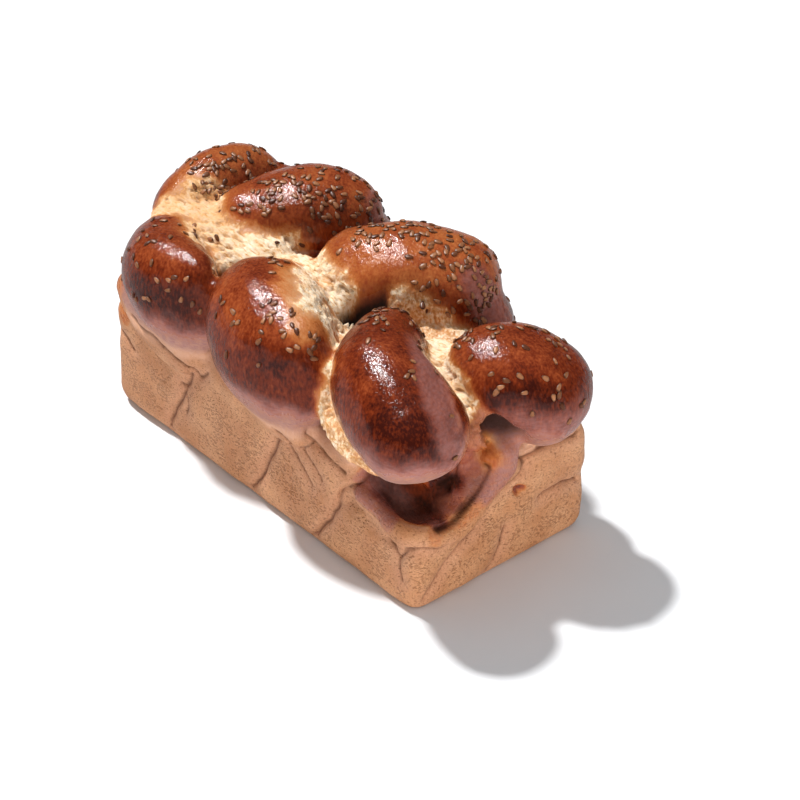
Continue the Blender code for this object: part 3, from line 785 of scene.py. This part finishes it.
# Relief: wrinkles of the glaze, pits and grit of the wall, fibres of the crumb.
wrinkle = add_node(tree, "ShaderNodeTexNoise", {"Scale": 1 / (1.7 * MM), "Detail": 4.0, "Roughness": 0.55},
                   {"Vector": upright})
wrinkled = add_node(tree, "ShaderNodeMapRange", {"To Max": 0.38}, {"Value": wrinkle})
wrinkled = add_node(tree, "ShaderNodeMath", {"operation": "MULTIPLY_ADD", 1: 0.18},
                    {0: streak, 2: wrinkled})
relief = add_node(tree, "ShaderNodeMath", {"operation": "MULTIPLY_ADD", 1: -0.38},
                  {0: pit_in, 2: wrinkled})
gritty = add_node(tree, "ShaderNodeMath", {"operation": "MULTIPLY"}, {0: sand, 1: kept_values["wall"]})
relief = add_node(tree, "ShaderNodeMath", {"operation": "MULTIPLY_ADD", 1: 0.25}, {0: gritty, 2: relief})
fibres = add_node(tree, "ShaderNodeTexNoise", {"Scale": 1 / (1.0 * MM), "Detail": 4.0, "Roughness": 0.6},
                  {"Vector": pulled})
fibres = add_node(tree, "ShaderNodeMath", {"operation": "MULTIPLY"}, {0: fibres, 1: kept_values["torn"]})
relief = add_node(tree, "ShaderNodeMath", {"operation": "MULTIPLY_ADD", 1: 0.75}, {0: fibres, 2: relief})
bump = add_node(tree, "ShaderNodeBump", {"Distance": MM, "Strength": 0.9}, {"Height": relief})
tree.links.new(bump.outputs["Normal"], shader.inputs["Normal"])
loaf.data.materials.append(crust)

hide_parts("loaf")
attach(loaf, "root")

# --- Sesame seeds ---------------------------------------------------------------------------------
# Unhulled sesame, 3 to 4 mm long, sprinkled on the egg wash: thick on the far strands, scattered on
# the near ones. One seed is shaped from a ball, then laid flat on the crust again and again.
SEED_LENGTH, SEED_WIDTH, SEED_THICKNESS = 3.7, 2.1, 1.0
# Where they fell, as (x, y, z, radius, count).
SPRINKLES = [
    (-93, 2, 105, 14, 40), (-88, 16, 104, 14, 40), (-86, -2, 100, 8, 14), (-98, 36, 94, 14, 14),
    (-55, 0, 107, 12, 28), (-48, 12, 112, 14, 38), (-38, 26, 112, 14, 38), (-28, 36, 104, 12, 24),
    (-34, 14, 106, 10, 16), (-24, 24, 101, 10, 14), (-40, 52, 92, 16, 14),
    (4, 8, 115, 13, 20), (16, 18, 118, 13, 34), (30, 26, 116, 14, 40), (44, 32, 108, 14, 36),
    (50, 34, 98, 11, 24), (38, 16, 108, 12, 18), (50, 24, 96, 10, 14), (34, 54, 92, 16, 14),
    (-72, -42, 103, 16, 14), (-75, -56, 90, 12, 8), (-50, -55, 90, 14, 7), (-60, -62, 76, 12, 4),
    (-36, -52, 88, 8, 3), (-62, -30, 99, 6, 6), (-9, -30, 112, 7, 8), (22, -54, 107, 10, 18),
    (32, -50, 103, 6, 7), (4, -62, 96, 14, 5), (-6, -58, 100, 8, 3), (38, -46, 98, 5, 2),
    (44, -12, 107, 9, 22), (52, -24, 113, 8, 16), (60, -10, 106, 6, 6), (62, -38, 112, 6, 3),
    (80, -28, 112, 12, 4), (88, -42, 108, 8, 3), (106, -38, 94, 12, 2), (76, 0, 107, 8, 12),
    (86, 12, 110, 9, 12), (94, 24, 107, 9, 10), (104, 10, 102, 16, 10), (112, 16, 96, 12, 6),
    (118, 24, 84, 10, 4), (102, 0, 97, 8, 3), (100, 30, 102, 8, 5), (102, 50, 82, 12, 6),
]
RADIUS_TO_SPREAD = 1.9
SEED_SPACING = 1.9
SEED_SINK = 0.25
SEED_TAPER = 0.32

bpy.ops.object.select_all(action="DESELECT")
bpy.ops.mesh.primitive_uv_sphere_add(segments=8, ring_count=6, radius=1.0)
seed = bpy.context.object
ball = points_of(seed) * MM
tip = ball[:, 2]
seed_shape = np.stack([tip * SEED_LENGTH / 2, ball[:, 0] * (1 - SEED_TAPER * tip) * SEED_WIDTH / 2,
                       ball[:, 1] * SEED_THICKNESS / 2], axis=1)
seed_rim = ease(np.maximum(np.abs(ball[:, 0]), np.abs(tip)), 0.6, 0.98)
# A new ball's faces come in no fixed order, so they are sorted to give the same mesh each time.
seed_faces = sorted(list(face.vertices) for face in seed.data.polygons)
bpy.data.objects.remove(seed)

crust_faces = [list(face.vertices) for face in loaf.data.polygons]
crust_tree = BVHTree.FromPolygons([Vector(p) for p in skin], crust_faces)
dice = np.random.default_rng(7)
places, points, faces, rims, toasts = [], [], [], [], []
for x, y, z, radius, count in SPRINKLES:
    for _ in range(count):
        throw = dice.normal(0, radius / RADIUS_TO_SPREAD, 3)
        where, normal, _, _ = crust_tree.find_nearest(Vector((x, y, z)) + Vector(throw))
        size = dice.uniform(0.85, 1.12)
        turn = dice.uniform(0, math.tau)
        lean = dice.normal(0, 0.12, 2)
        toast = dice.random()
        if any((where - other).length < SEED_SPACING for other in places):
            continue
        places.append(where)
        stand = (normal + Vector((*lean, 0))).normalized()
        spin = Matrix.Rotation(turn, 3, "Z")
        turned = seed_shape * size @ np.array(stand.to_track_quat("Z", "Y").to_matrix() @ spin).T
        faces += [[corner + len(points) for corner in face] for face in seed_faces]
        points += list(turned + np.array(where + stand * (SEED_THICKNESS / 2 - SEED_SINK)))
        rims += list(seed_rim)
        toasts += [toast] * len(seed_rim)
seeds_mesh = bpy.data.meshes.new("sesame_seeds")
seeds_mesh.from_pydata((np.array(points) + TIN_MIDDLE) * MM, [], faces)
seeds = bpy.data.objects.new("sesame_seeds", seeds_mesh)
bpy.context.collection.objects.link(seeds)
seeds_mesh.shade_smooth()
keep_values(seeds, "rim", np.array(rims))
keep_values(seeds, "toast", np.array(toasts))
print("seeds", len(places))

# Toasted sesame: a thin papery husk, tan and slightly oily, darker at its rim.
husk = bpy.data.materials.new("toasted_sesame_husk")
husk.use_nodes = True
tree = husk.node_tree
shader = tree.nodes["Principled BSDF"]
toasted = add_node(tree, "ShaderNodeAttribute", {"attribute_name": "toast"}).outputs["Fac"]
at_rim = add_node(tree, "ShaderNodeAttribute", {"attribute_name": "rim"}).outputs["Fac"]
body = add_node(tree, "ShaderNodeValToRGB", {"stops": [
    (0.1, "#a36d48"), (0.6, "#815132"), (0.95, "#552c18")]}, {"Fac": toasted})
body = add_node(tree, "ShaderNodeMix", {"data_type": "RGBA", 7: "#3f1d0e"}, {0: at_rim, 6: body})
tree.links.new(body.outputs[2], shader.inputs["Base Color"])
shader.inputs["Roughness"].default_value = 0.36
shader.inputs["IOR"].default_value = 1.46
seeds_mesh.materials.append(husk)
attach(seeds, "root")
